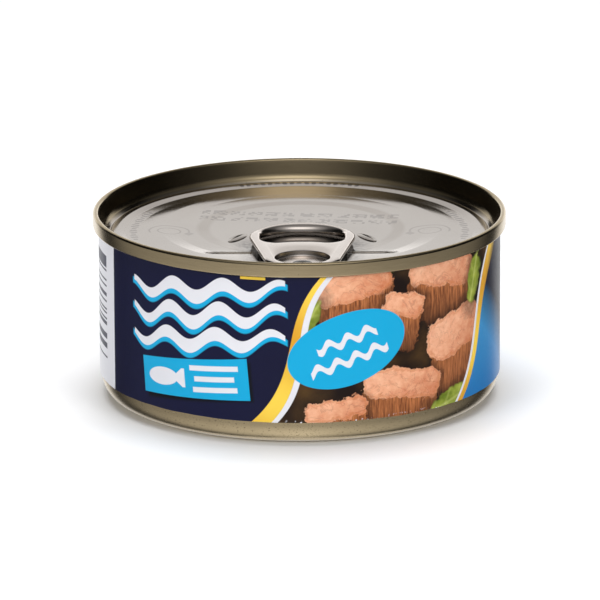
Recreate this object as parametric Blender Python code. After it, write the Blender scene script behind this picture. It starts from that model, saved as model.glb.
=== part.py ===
# A shut tuna can with an easy-open end: drawn body, seamed lid, pull tab and paper label.
# Metres, +Z up, standing on z = 0, with the nose of the tab towards -Y.

import math

import bmesh
import bpy

MM = 0.001
SEGMENTS = 84

# Driving dimensions
SEAM_RADIUS = 43.5 * MM
HEIGHT = 39.5 * MM
SEAM_HEIGHT = 3.1 * MM
WALL_RADIUS = 41.95 * MM
SHEET = 0.25 * MM
LID_SHEET = 0.3 * MM
GAP = 0.25 * MM
FOOT_FILLET = 4.4 * MM
LABEL_FOOT = 5.1 * MM
TAB_TOP = 36.4 * MM
TAB_THICKNESS = 1.45 * MM

# Levels of the lid, from the printed outer band down to the finger well
BAND_Z = HEIGHT - 4.2 * MM
PANEL_Z = BAND_Z - 0.65 * MM
DISC_Z = PANEL_Z - 0.2 * MM
WELL_Z = DISC_Z - 0.2 * MM
SEAM_FOOT = HEIGHT - SEAM_HEIGHT
FILL_TOP = WELL_Z - LID_SHEET - 0.35 * MM

# Outlines of the two sunk discs: radius, and how far forward the chord cuts them off
DISC_RADIUS = 28.2 * MM
DISC_CHORD = 18.0 * MM
WELL_RADIUS = 20.8 * MM
WELL_CHORD = 15.6 * MM
STEP_RUN = 2.6 * MM

# The tab in plan: a wide ring end, a narrow nose, and the finger hole
TAB_X = 0.6 * MM
RING_CENTRE_Y = -9.0 * MM
RING_HALF = (11.1 * MM, 11.45 * MM)
RING_POWER = 1.85
NOSE_CENTRE_Y = -25.6 * MM
NOSE_HALF = (8.1 * MM, 8.2 * MM)
HOLE_CENTRE_Y = -8.6 * MM
HOLE_HALF_WIDTH = 8.93 * MM
HOLE_BACK = (7.0 * MM, 2.7)
HOLE_FRONT = (7.0 * MM, 3.6)
HOLE_BOW = 1.1 * MM
POCKET_CENTRE_Y = -27.0 * MM
POCKET_HALF = (5.75 * MM, 5.1 * MM)
RIVET_Y = -29.4 * MM
RIVET_POST = 1.4 * MM
RIVET_HEAD = 2.2 * MM

# The ring's back bar is a half round that lies nearly on the lid
BAR_START = -8.5 * MM
BAR_FULL = -3.0 * MM
BAR_TOP = 36.25 * MM
BAR_EDGE = 34.62 * MM
BAR_FOOT = 34.5 * MM


def clear_scene():
    for thing in list(bpy.data.objects):
        bpy.data.objects.remove(thing, do_unlink=True)


def material(name, colour, roughness, metallic):
    made = bpy.data.materials.new(name)
    made.use_nodes = True
    shader = made.node_tree.nodes["Principled BSDF"]
    shader.inputs["Base Color"].default_value = (*colour, 1.0)
    shader.inputs["Roughness"].default_value = roughness
    shader.inputs["Metallic"].default_value = metallic
    return made


def add_object(name, mesh, surface=None):
    thing = bpy.data.objects.new(name, mesh)
    if surface:
        mesh.materials.append(surface)
    bpy.context.collection.objects.link(thing)
    return thing


def smooth(thing, angle=35.0):
    thing.data.shade_smooth()
    thing.data.set_sharp_from_angle(angle=math.radians(angle))


def skin(name, rings, surface=None, closed=False):
    """Joins rings of points, each inside or above the next, into one body.

    A ring of one point is a pole. A closed skin also joins the last ring to the first.
    """
    form = bmesh.new()
    made = [[form.verts.new(point) for point in ring] for ring in rings]
    pairs = list(zip(made, made[1:]))
    if closed:
        pairs.append((made[-1], made[0]))
    for upper, lower in pairs:
        count = max(len(upper), len(lower))
        for i in range(count):
            after = (i + 1) % count
            if len(upper) == 1:
                form.faces.new((upper[0], lower[i], lower[after]))
            elif len(lower) == 1:
                form.faces.new((upper[i], lower[0], upper[after]))
            else:
                form.faces.new((upper[i], lower[i], lower[after], upper[after]))
    mesh = bpy.data.meshes.new(name)
    form.to_mesh(mesh)
    form.free()
    thing = add_object(name, mesh, surface)
    smooth(thing)
    return thing


def lathe(name, profile, surface):
    """Turns a profile of (radius, z) round Z. It runs from the top centre down the outside."""
    mesh = bpy.data.meshes.new(name)
    points = [(radius, 0.0, z) for radius, z in profile]
    open_ended = profile[0][0] == 0.0
    count = len(points)
    edges = [(i, i + 1) for i in range(count - 1)]
    if not open_ended:
        edges.append((count - 1, 0))
    mesh.from_pydata(points, edges, [])
    thing = add_object(name, mesh, surface)
    turn = thing.modifiers.new("Turn", "SCREW")
    turn.axis = "Z"
    turn.steps = SEGMENTS
    turn.render_steps = SEGMENTS
    turn.use_merge_vertices = True
    turn.merge_threshold = 0.00001
    turn.use_smooth_shade = True
    return thing


def arc(centre, radius, start, end, steps):
    """Points of (radius, z) on an arc, with angles in degrees from the outward direction."""
    turns = [math.radians(start + (end - start) * i / steps) for i in range(steps + 1)]
    return [(centre[0] + radius * math.cos(t), centre[1] + radius * math.sin(t)) for t in turns]


def circle_ring(radius, z, chord=None, centre=(0.0, 0.0), count=SEGMENTS):
    """A ring round Z, cut straight across its front where chord gives how far forward."""
    ring = []
    for i in range(count):
        turn = 2.0 * math.pi * i / count
        reach = radius
        if chord and -math.sin(turn) * radius > chord:
            reach = chord / -math.sin(turn)
        x = centre[0] + reach * math.cos(turn)
        y = centre[1] + reach * math.sin(turn)
        ring.append((x, y, z))
    return ring


def can_body(surface):
    """The drawn can with its contents, solid up to just under the lid."""
    foot = arc((WALL_RADIUS - FOOT_FILLET, FOOT_FILLET), FOOT_FILLET, 0.0, -90.0, 6)
    wall_top = SEAM_FOOT - 0.35 * MM
    stand = 35.8 * MM
    profile = [
        (0.0, FILL_TOP),
        (WALL_RADIUS - SHEET, FILL_TOP),
        (WALL_RADIUS - SHEET, wall_top),
        (WALL_RADIUS, wall_top),
        *foot,
        (stand, 0.0),
        (stand - 1.2 * MM, 0.9 * MM),
        (29.2 * MM, 0.9 * MM),
        (28.0 * MM, 1.4 * MM),
        (0.0, 1.4 * MM),
    ]
    return lathe("can_body", profile, surface)


def paper_label(surface):
    """The label, a thin ring round the wall that tucks up against the seam."""
    inner = WALL_RADIUS + GAP
    outer = inner + SHEET
    top = SEAM_FOOT - 0.3 * MM
    profile = [(outer, top), (outer, LABEL_FOOT), (inner, LABEL_FOOT), (inner, top)]
    return lathe("label", profile, surface)


def seam_outline():
    """The double seam in section, from the foot of the chuck wall over the top to its own foot."""
    crown = arc((SEAM_RADIUS - 0.6 * MM, HEIGHT - 0.6 * MM), 0.6 * MM, 150.0, 0.0, 5)
    foot = arc((SEAM_RADIUS - 0.35 * MM, SEAM_FOOT + 0.35 * MM), 0.35 * MM, 0.0, -90.0, 2)
    return crown + foot


def lid_blank(surface):
    """The end: sunk discs, sloped rim, groove, chuck wall and seam, as one bent sheet."""
    inside = WALL_RADIUS - SHEET - GAP
    run = STEP_RUN
    top = [
        circle_ring(WELL_RADIUS - run, WELL_Z, WELL_CHORD - run),
        circle_ring(WELL_RADIUS, DISC_Z, WELL_CHORD),
        circle_ring(DISC_RADIUS - run, DISC_Z, DISC_CHORD - run),
        circle_ring(DISC_RADIUS, PANEL_Z, DISC_CHORD),
        circle_ring(35.2 * MM, PANEL_Z + 0.14 * MM),
        circle_ring(37.9 * MM, BAND_Z + 0.06 * MM),
        circle_ring(39.5 * MM, BAND_Z - 0.03 * MM),
        circle_ring(39.85 * MM, BAND_Z - 0.5 * MM),
        circle_ring(40.2 * MM, BAND_Z - 0.6 * MM),
        circle_ring(40.6 * MM, BAND_Z),
        circle_ring(41.15 * MM, BAND_Z + 0.65 * MM),
    ]
    seam = [circle_ring(radius, z) for radius, z in seam_outline()]
    under = [
        circle_ring(inside, SEAM_FOOT),
        circle_ring(inside, BAND_Z + 0.4 * MM),
        circle_ring(41.1 * MM, BAND_Z - 0.3 * MM),
        circle_ring(40.4 * MM, BAND_Z - 0.95 * MM),
        circle_ring(39.7 * MM, BAND_Z - 0.95 * MM),
        circle_ring(39.3 * MM, BAND_Z - 0.35 * MM),
        circle_ring(38.0 * MM, BAND_Z - 0.26 * MM),
        circle_ring(35.3 * MM, PANEL_Z + 0.14 * MM - LID_SHEET),
        circle_ring(DISC_RADIUS + 0.2 * MM, PANEL_Z - LID_SHEET, DISC_CHORD + 0.2 * MM),
        circle_ring(DISC_RADIUS - run + 0.2 * MM, DISC_Z - LID_SHEET, DISC_CHORD - run + 0.2 * MM),
        circle_ring(WELL_RADIUS + 0.2 * MM, DISC_Z - LID_SHEET, WELL_CHORD + 0.2 * MM),
        circle_ring(WELL_RADIUS - run + 0.2 * MM, WELL_Z - LID_SHEET, WELL_CHORD - run + 0.2 * MM),
    ]
    poles = ([(0.0, 0.0, WELL_Z)], [(0.0, 0.0, WELL_Z - LID_SHEET)])
    return skin("lid", [poles[0], *top, *seam, *under, poles[1]], surface)


def unite(thing, tool):
    """Fuses a helper into a node. The helper itself isn't a node."""
    tool.hide_render = True
    tool.display_type = "WIRE"
    join = thing.modifiers.new(tool.name, "BOOLEAN")
    join.operation = "UNION"
    join.object = tool


def cut(thing, tool):
    tool.hide_render = True
    tool.display_type = "WIRE"
    carve = thing.modifiers.new(tool.name, "BOOLEAN")
    carve.operation = "DIFFERENCE"
    carve.object = tool


def rivet():
    """The post and head that the lid's own sheet forms to hold the tab."""
    centre = (TAB_X, RIVET_Y)
    head_foot = TAB_TOP - TAB_THICKNESS + LID_SHEET + 0.25 * MM
    outline = [
        (1.3 * MM, head_foot + 0.35 * MM),
        (1.9 * MM, head_foot + 0.3 * MM),
        (RIVET_HEAD, head_foot + 0.15 * MM),
        (RIVET_HEAD - 0.1 * MM, head_foot),
        (RIVET_POST, head_foot),
        (RIVET_POST, PANEL_Z - 0.15 * MM),
    ]
    rings = [circle_ring(radius, z, centre=centre, count=28) for radius, z in outline]
    crown = [(*centre, outline[0][1])]
    foot = [(*centre, outline[-1][1])]
    return skin("rivet", [crown, *rings, foot])


def lock_ridge(side):
    """The small slanted ridge beside the tab that keeps it from turning."""
    form = bmesh.new()
    bmesh.ops.create_icosphere(form, subdivisions=2, radius=1.0)
    mesh = bpy.data.meshes.new("ridge")
    form.to_mesh(mesh)
    form.free()
    name = "ridge_left" if side < 0 else "ridge_right"
    ridge = add_object(name, mesh)
    ridge.scale = (3.1 * MM, 0.9 * MM, 0.6 * MM)
    ridge.rotation_euler = (0.0, 0.0, -side * math.radians(60.0))
    ridge.location = (TAB_X + side * 13.6 * MM, -3.9 * MM, WELL_Z + 0.02 * MM)
    return ridge


def lid(surface):
    end = lid_blank(surface)
    for tool in (rivet(), lock_ridge(-1), lock_ridge(1)):
        unite(end, tool)
    return end


def support_point(half, centre_y, turn, power=2.0):
    """The point of a superellipse whose outward normal has this angle."""
    dual = power / (power - 1.0)
    wide = half[0] * math.cos(turn)
    deep = half[1] * math.sin(turn)
    length = (abs(wide) ** dual + abs(deep) ** dual) ** (1.0 / power)
    x = math.copysign(half[0] * abs(wide) ** (dual - 1.0) / length, wide)
    y = math.copysign(half[1] * abs(deep) ** (dual - 1.0) / length, deep)
    return (x, centre_y + y)


def tab_outline(inset, count=60):
    """The hull of the ring end and the nose, drawn in by inset along its normals."""
    ring = []
    for i in range(count):
        turn = 2.0 * math.pi * (i + 0.5) / count
        normal = (math.cos(turn), math.sin(turn))
        choices = (
            support_point(RING_HALF, RING_CENTRE_Y, turn, RING_POWER),
            support_point(NOSE_HALF, NOSE_CENTRE_Y, turn),
        )
        best = max(choices, key=lambda point: point[0] * normal[0] + point[1] * normal[1])
        ring.append((TAB_X + best[0] - inset * normal[0], best[1] - inset * normal[1]))
    return ring


def hole_outline(outset, count=60):
    """The finger hole grown by outset: round at the back, squarer in front, where its edge bows in."""
    ring = []
    for i in range(count):
        turn = 2.0 * math.pi * (i + 0.5) / count
        reach, squareness = HOLE_BACK if math.sin(turn) > 0.0 else HOLE_FRONT
        power = 2.0 / squareness
        x = (HOLE_HALF_WIDTH + outset) * math.copysign(abs(math.cos(turn)) ** power, math.cos(turn))
        y = (reach + outset) * math.copysign(abs(math.sin(turn)) ** power, math.sin(turn))
        if y < 0.0:
            y += HOLE_BOW * max(0.0, 1.0 - (abs(x) / (6.0 * MM)) ** 3) ** 2
        ring.append((TAB_X + x, HOLE_CENTRE_Y + y))
    return ring


def bar_share(y):
    """How much of the back bar's section there is at y: 0 or 1, and between along an S."""
    share = (y - BAR_START) / (BAR_FULL - BAR_START)
    share = min(max(share, 0.0), 1.0)
    return share * share * (3.0 - 2.0 * share)


def tab_section(edge, opposite, angle):
    """The tab's rolled edge at one angle of its section, between that edge and the opposite one."""
    roll = 0.5 * TAB_THICKNESS
    rise = math.sin(math.radians(angle))
    reach = 1.0 - math.cos(math.radians(angle))
    part, height = (0.47, BAR_TOP - BAR_EDGE) if rise > 0.0 else (0.06, BAR_EDGE - BAR_FOOT)
    ring = []
    for slim, here, there in zip(edge(roll * reach), edge(0.0), opposite(0.0)):
        share = bar_share(slim[1])
        across = part * reach
        full = (here[0] + (there[0] - here[0]) * across, here[1] + (there[1] - here[1]) * across)
        x = slim[0] + (full[0] - slim[0]) * share
        y = slim[1] + (full[1] - slim[1]) * share
        low = TAB_TOP - roll + roll * rise
        high = BAR_EDGE + height * rise
        ring.append((x, y, low + (high - low) * share))
    return ring


def pull_tab(surface):
    """The ring pull: a plate with rolled edges, a finger hole and a pocket for the rivet."""
    angles = (90.0, 45.0, 0.0, -45.0, -90.0)
    rings = [tab_section(tab_outline, hole_outline, angle) for angle in angles]
    rings += [tab_section(hole_outline, tab_outline, angle) for angle in reversed(angles)]
    tab = skin("pull_tab", rings, surface, closed=True)
    cut(tab, tab_pocket())
    cut(tab, rivet_hole())
    return tab


def ellipse_prism(name, half, centre_y, low, high, count):
    rings = []
    for z in (high, low):
        turns = [2.0 * math.pi * (i + 0.5) / count for i in range(count)]
        rings.append(
            [(TAB_X + half[0] * math.cos(t), centre_y + half[1] * math.sin(t), z) for t in turns]
        )
    crown = [(TAB_X, centre_y, high)]
    foot = [(TAB_X, centre_y, low)]
    return skin(name, [crown, *rings, foot])


def tab_pocket():
    floor = TAB_TOP - TAB_THICKNESS + LID_SHEET
    return ellipse_prism("pocket", POCKET_HALF, POCKET_CENTRE_Y, floor, TAB_TOP + 1.0 * MM, 36)


def rivet_hole():
    half = (RIVET_POST + 0.4 * MM, RIVET_POST + 0.4 * MM)
    low = TAB_TOP - TAB_THICKNESS - 1.0 * MM
    return ellipse_prism("rivet_hole", half, RIVET_Y, low, TAB_TOP - 0.9 * MM, 24)


def main():
    clear_scene()
    tinplate = material("tinplate", (0.42, 0.38, 0.30), 0.32, 1.0)
    lacquer = material("lacquered end", (0.55, 0.52, 0.48), 0.25, 0.9)
    tab_metal = material("tab metal", (0.72, 0.71, 0.70), 0.3, 1.0)
    paper = material("printed paper", (0.01, 0.013, 0.045), 0.35, 0.0)
    can_body(tinplate)
    lid(lacquer)
    pull_tab(tab_metal)
    paper_label(paper)


main()
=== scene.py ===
"""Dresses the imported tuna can: fine metal and paper forms, printed label, camera and studio light."""

import math

import bmesh
import bpy
from mathutils import Matrix, Vector, noise


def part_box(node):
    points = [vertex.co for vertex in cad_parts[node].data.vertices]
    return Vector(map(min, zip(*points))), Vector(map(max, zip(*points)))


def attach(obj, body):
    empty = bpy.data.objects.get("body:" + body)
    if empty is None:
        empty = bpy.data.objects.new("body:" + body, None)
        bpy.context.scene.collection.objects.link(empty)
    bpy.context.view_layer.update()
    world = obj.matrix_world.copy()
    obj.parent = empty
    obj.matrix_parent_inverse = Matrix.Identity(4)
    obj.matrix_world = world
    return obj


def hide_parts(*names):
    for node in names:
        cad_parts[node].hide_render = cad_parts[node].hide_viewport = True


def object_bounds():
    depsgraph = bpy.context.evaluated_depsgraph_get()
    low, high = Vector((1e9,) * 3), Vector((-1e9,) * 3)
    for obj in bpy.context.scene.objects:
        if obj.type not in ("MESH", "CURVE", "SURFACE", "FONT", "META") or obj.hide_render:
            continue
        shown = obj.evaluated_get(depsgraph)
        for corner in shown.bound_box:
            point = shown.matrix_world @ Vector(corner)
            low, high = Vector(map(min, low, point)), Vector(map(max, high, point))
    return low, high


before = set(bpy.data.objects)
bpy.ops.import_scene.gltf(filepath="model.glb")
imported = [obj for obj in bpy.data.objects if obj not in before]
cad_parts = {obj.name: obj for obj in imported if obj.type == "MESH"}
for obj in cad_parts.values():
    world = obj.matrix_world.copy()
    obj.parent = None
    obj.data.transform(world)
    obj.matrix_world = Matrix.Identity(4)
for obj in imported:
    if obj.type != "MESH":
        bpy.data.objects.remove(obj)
cad_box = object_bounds()

MM = 0.001
DEGREES = 180.0 / math.pi
SIDES = 288

# Sizes, from the frame where a CAD node gives them
HEIGHT = cad_box[1].z
SEAM_RADIUS = cad_box[1].x
WALL_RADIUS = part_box("can_body")[1].x
LABEL_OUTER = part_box("label")[1].x
LABEL_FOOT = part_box("label")[0].z
LABEL_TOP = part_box("label")[1].z
BAR_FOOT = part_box("pull_tab")[0].z
BAR_EDGE = BAR_FOOT + 0.12 * MM
BAR_TOP = BAR_FOOT + 1.75 * MM
TAB_FOOT = BAR_FOOT + 0.45 * MM
TAB_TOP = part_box("pull_tab")[1].z
SEAM_FOOT = HEIGHT - 3.1 * MM
SHEET = 0.25 * MM
LID_SHEET = 0.3 * MM
GAP = 0.25 * MM
FOOT_FILLET = 4.4 * MM

# Levels and outlines of the lid, from the groove's inner lip down to the inner disc
BAND_Z = HEIGHT - 4.2 * MM
PANEL_Z = BAND_Z - 0.65 * MM
DISC_Z = PANEL_Z - 0.3 * MM
WELL_Z = DISC_Z - 0.16 * MM
DISC_CENTRE = (0.3 * MM, 3.8 * MM)
DISC_RADIUS = 29.8 * MM
DISC_CHORD = 18.4 * MM
DISC_RUN = 3.6 * MM
DISC_CREASE = 0.5 * MM
DISC_TILT = 0.0042
WELL_RADIUS = 21.8 * MM
WELL_CHORD = 14.6 * MM
WELL_RUN = 2.7 * MM

# The panel's sloped rim and the groove's inner lip: radius, and height above the panel, both in mm
RIM = (
    (33.95, 0.0),
    (34.2, 0.01),
    (34.5, 0.03),
    (36.4, 0.19),
    (36.6, 0.22),
    (36.8, 0.27),
    (37.95, 0.57),
    (38.15, 0.61),
    (38.4, 0.62),
    (39.15, 0.62),
    (39.35, 0.58),
    (39.5, 0.46),
    (39.58, 0.28),
)

# The pressed ridges beside the tab, with the slit along each one's crest
RIDGE_PLACE = (13.6 * MM, -3.9 * MM)
RIDGE_HALF = (3.5 * MM, 1.15 * MM, 0.34 * MM)
RIDGE_TURN = 60.0
SLIT_HALF = (2.5 * MM, 0.26 * MM)
SLIT_BACK = 0.12 * MM

# The tab in plan
TAB_X = 0.6 * MM
RING_CENTRE_Y = -9.0 * MM
RING_HALF = (11.1 * MM, 11.45 * MM)
RING_POWER = 1.85
NOSE_CENTRE_Y = -25.6 * MM
NOSE_HALF = (8.1 * MM, 8.2 * MM)
HOLE_CENTRE_Y = -8.6 * MM
HOLE_HALF_WIDTH = 8.8 * MM
# Reach of the finger hole behind and in front of its centre, each with how square it is
HOLE_BACK = (7.3 * MM, 2.3)
HOLE_FRONT = (7.0 * MM, 3.6)
HOLE_BOW = 1.1 * MM
HOLE_BOW_HALF = 6.0 * MM
POCKET_CENTRE_Y = -27.0 * MM
POCKET_HALF = (5.75 * MM, 5.1 * MM)
RIVET_Y = -29.4 * MM
POST_RADIUS = 2.0 * MM
BAR_START = -8.5 * MM
BAR_FULL = -3.0 * MM
TAB_SIDES = 180
# Shares of the back bar's width over which its top and its foot round off from each side
BAR_ROUND_TOP = 0.47
BAR_ROUND_FOOT = 0.06

# Camera, found from the outline in the photograph
PHOTO_SIDE = 600
FOCAL_PIXELS = 6891.3
CAMERA_DISTANCE = 1.4574
CAMERA_ELEVATION = 15.658
CAMERA_ROLL = -0.211
AIM = Vector((0.07 * MM, 0.0, 0.5 * HEIGHT - 0.19 * MM))


# Mesh helpers

def add_object(name, mesh, surface=None):
    thing = bpy.data.objects.new(name, mesh)
    if surface:
        mesh.materials.append(surface)
    bpy.context.scene.collection.objects.link(thing)
    return thing


def smooth(thing, angle=40.0):
    thing.data.shade_smooth()
    thing.data.set_sharp_from_angle(angle=math.radians(angle))


def skin(name, rings, surface=None, closed=False, angle=40.0):
    """Joins rings of points into one surface. A ring of one point is a pole."""
    form = bmesh.new()
    made = [[form.verts.new(point) for point in ring] for ring in rings]
    pairs = list(zip(made, made[1:]))
    if closed:
        pairs.append((made[-1], made[0]))
    for upper, lower in pairs:
        count = max(len(upper), len(lower))
        for i in range(count):
            after = (i + 1) % count
            if len(upper) == 1:
                form.faces.new((upper[0], lower[i], lower[after]))
            elif len(lower) == 1:
                form.faces.new((upper[i], lower[0], upper[after]))
            else:
                form.faces.new((upper[i], lower[i], lower[after], upper[after]))
    mesh = bpy.data.meshes.new(name)
    form.to_mesh(mesh)
    form.free()
    thing = add_object(name, mesh, surface)
    smooth(thing, angle)
    return thing


def arc(centre, radius, start, end, steps):
    """Points of (radius, z) on an arc, with angles in degrees from the outward direction."""
    turns = [math.radians(start + (end - start) * i / steps) for i in range(steps + 1)]
    return [(centre[0] + radius * math.cos(t), centre[1] + radius * math.sin(t)) for t in turns]


def ease(t):
    return t * t * (3.0 - 2.0 * t)


def eased(start, end, steps):
    """Points from one (radius, z) to another along an S, without the first."""
    made = []
    for i in range(1, steps + 1):
        t = i / steps
        made.append((start[0] + (end[0] - start[0]) * t, start[1] + (end[1] - start[1]) * ease(t)))
    return made


def circle_ring(radius, z, centre=(0.0, 0.0), count=SIDES):
    ring = []
    for i in range(count):
        turn = 2.0 * math.pi * i / count
        ring.append((centre[0] + radius * math.cos(turn), centre[1] + radius * math.sin(turn), z))
    return ring


def cut_ring(radius, z, chord):
    """A ring about the discs' centre, cut straight at y = -chord, with rounded corners."""
    sharpness = 40.0
    ring = []
    for i in range(SIDES):
        turn = 2.0 * math.pi * i / SIDES
        reach = radius
        front = -math.sin(turn)
        if front > 0.05:
            straight = (chord + DISC_CENTRE[1]) / front
            reach = (radius**-sharpness + straight**-sharpness) ** (-1.0 / sharpness)
        x = DISC_CENTRE[0] + reach * math.cos(turn)
        y = DISC_CENTRE[1] + reach * math.sin(turn)
        ring.append((x, y, z))
    return ring


def lathe(name, profile, surface, count=SIDES, centre=(0.0, 0.0)):
    """Turns (radius, z) points round Z. A radius of nought is a pole."""
    rings = []
    for radius, z in profile:
        if radius == 0.0:
            rings.append([(*centre, z)])
        else:
            rings.append(circle_ring(radius, z, centre, count))
    return skin(name, rings, surface, closed=profile[0][0] > 0.0)


# Material helpers

def srgb(red, green, blue):
    """An 8-bit screen colour as the linear colour that a shader takes."""
    linear = []
    for level in (red, green, blue):
        share = level / 255.0
        linear.append(share / 12.92 if share <= 0.04045 else ((share + 0.055) / 1.055) ** 2.4)
    return (*linear, 1.0)


class Term:
    """A number in a node tree that can be used in plain arithmetic."""

    def __init__(self, tree, socket):
        self.tree = tree
        self.socket = socket

    def apply(self, operation, *others, clamp=False):
        node = self.tree.nodes.new("ShaderNodeMath")
        node.operation = operation
        node.use_clamp = clamp
        for place, item in enumerate((self, *others)):
            feed(self.tree, node.inputs[place], item)
        return Term(self.tree, node.outputs[0])

    def __add__(self, other):
        return self.apply("ADD", other)

    def __sub__(self, other):
        return self.apply("SUBTRACT", other)

    def __mul__(self, other):
        return self.apply("MULTIPLY", other)

    def __truediv__(self, other):
        return self.apply("DIVIDE", other)

    def size(self):
        return self.apply("ABSOLUTE")

    def most(self, other):
        return self.apply("MAXIMUM", other)

    def least(self, other):
        return self.apply("MINIMUM", other)

    def squared(self):
        return self.apply("POWER", 2.0)

    def root(self):
        return self.apply("SQRT")

    def sine(self):
        return self.apply("SINE")

    def whole(self):
        return self.apply("FLOOR")

    def part(self):
        return self.apply("FRACT")

    def clamped(self):
        return self.apply("ADD", 0.0, clamp=True)

    def inside(self, soft=0.12):
        """1 where a signed distance in mm is below nought, fading over soft mm."""
        return self.apply("MULTIPLY_ADD", -1.0 / soft, 0.5, clamp=True)

    def ramp(self, low, high):
        """0 at low and 1 at high, and straight between."""
        scale = 1.0 / (high - low)
        return self.apply("MULTIPLY_ADD", scale, -low * scale, clamp=True)


def feed(tree, socket, item):
    if isinstance(item, Term):
        tree.links.new(item.socket, socket)
    elif isinstance(item, bpy.types.NodeSocket):
        tree.links.new(item, socket)
    else:
        socket.default_value = item


def node(tree, kind, **settings):
    made = tree.nodes.new(kind)
    for name, value in settings.items():
        setattr(made, name, value)
    return made


# Places of a mix node's sockets, of which it has a set for each kind of value
MIX_FACTOR = 0
MIX_FIRST = 6
MIX_SECOND = 7
MIX_COLOUR = 2


def mix(tree, factor, first, second):
    """A colour between two others."""
    made = node(tree, "ShaderNodeMix", data_type="RGBA")
    feed(tree, made.inputs[MIX_FACTOR], factor)
    feed(tree, made.inputs[MIX_FIRST], first)
    feed(tree, made.inputs[MIX_SECOND], second)
    return made.outputs[MIX_COLOUR]


def start_material(name, roughness, metallic):
    """A material, its tree, its shader, and the place on the object in mm."""
    made = bpy.data.materials.new(name)
    made.use_nodes = True
    tree = made.node_tree
    shader = tree.nodes["Principled BSDF"]
    shader.inputs["Roughness"].default_value = roughness
    shader.inputs["Metallic"].default_value = metallic
    place = node(tree, "ShaderNodeTexCoord")
    scaled = node(tree, "ShaderNodeVectorMath", operation="SCALE")
    tree.links.new(place.outputs["Object"], scaled.inputs[0])
    scaled.inputs["Scale"].default_value = 1.0 / MM
    return made, tree, shader, scaled.outputs[0]


def split(tree, vector):
    parts = node(tree, "ShaderNodeSeparateXYZ")
    tree.links.new(vector, parts.inputs[0])
    return [Term(tree, output) for output in parts.outputs]


def joined(tree, x, y, z=0.0):
    made = node(tree, "ShaderNodeCombineXYZ")
    for place, item in enumerate((x, y, z)):
        feed(tree, made.inputs[place], item)
    return made.outputs[0]


def grain(tree, vector, scale, detail=3.0, roughness=0.5, stretch=None, distortion=0.0):
    """Noise from 0 to 1, with its scale in features per mm."""
    if stretch:
        shaped = node(tree, "ShaderNodeVectorMath", operation="MULTIPLY")
        tree.links.new(vector, shaped.inputs[0])
        shaped.inputs[1].default_value = stretch
        vector = shaped.outputs[0]
    made = node(tree, "ShaderNodeTexNoise", noise_dimensions="3D")
    tree.links.new(vector, made.inputs["Vector"])
    made.inputs["Scale"].default_value = scale
    made.inputs["Detail"].default_value = detail
    made.inputs["Roughness"].default_value = roughness
    made.inputs["Distortion"].default_value = distortion
    return Term(tree, made.outputs["Fac"])


def bump(tree, shader, height, distance):
    """Relief in the material, with its depth in mm."""
    made = node(tree, "ShaderNodeBump")
    made.inputs["Strength"].default_value = 1.0
    made.inputs["Distance"].default_value = distance * MM
    feed(tree, made.inputs["Height"], height)
    tree.links.new(made.outputs[0], shader.inputs["Normal"])


def turned(u, v, centre, degrees):
    """Coordinates about a centre, turned by an angle."""
    c = math.cos(math.radians(degrees))
    s = math.sin(math.radians(degrees))
    across = u - centre[0]
    up = v - centre[1]
    return across * c + up * s, up * c - across * s


def box_distance(u, v, half, corner=0.0):
    """Signed distance to a box about the origin, near its outline."""
    if not corner:
        return (u.size() - half[0]).most(v.size() - half[1])
    x = (u.size() - (half[0] - corner)).most(0.0)
    y = (v.size() - (half[1] - corner)).most(0.0)
    return (x.squared() + y.squared()).root() - corner


def ellipse_distance(u, v, half):
    """Roughly the signed distance to an ellipse about the origin."""
    x = u / half[0]
    y = v / half[1]
    return ((x.squared() + y.squared()).root() - 1.0) * min(half)


# Metals

BODY_LIGHT = srgb(196, 178, 144)
BODY_DARK = srgb(182, 164, 130)
BODY_SPOT = srgb(96, 80, 54)
END_PALE = srgb(200, 192, 184)
END_GREY = srgb(187, 178, 170)
SEAM_LIGHT = srgb(198, 180, 146)
SEAM_DARK = srgb(180, 162, 128)
# Painted reflection: a darker brown ring on the well's step
WELL_BAND_REFLECTION = srgb(128, 112, 92)
WELL_BAND_RADIUS = 20.6
SPECK = srgb(88, 76, 58)
# Painted shadow and reflection colour on the lid beside the tab
TAB_SHADOW_PAINT = srgb(66, 58, 50)
INK = srgb(104, 98, 96)
TAB_LIGHT = srgb(240, 230, 222)
TAB_GREY = srgb(226, 215, 206)
# Painted shade for the tab's faces turned down
TAB_PAINTED_SHADE = srgb(34, 28, 22)


def tinplate():
    """Lacquered steel of the drawn body, with fine spots and streaks."""
    made, tree, shader, place = start_material("body steel", 0.3, 1.0)
    cloud = grain(tree, place, 0.12, 3.0)
    spots = grain(tree, place, 2.6, 2.0, 0.6).ramp(0.60, 0.72)
    streaks = grain(tree, place, 0.5, 3.0, 0.6, stretch=(1.0, 1.0, 9.0))
    tone = mix(tree, cloud, BODY_LIGHT, BODY_DARK)
    tone = mix(tree, spots * 0.55, tone, BODY_SPOT)
    feed(tree, shader.inputs["Base Color"], tone)
    feed(tree, shader.inputs["Roughness"], streaks * 0.16 + 0.16)
    bump(tree, shader, streaks * 0.5 + cloud, 0.02)
    return made


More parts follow.
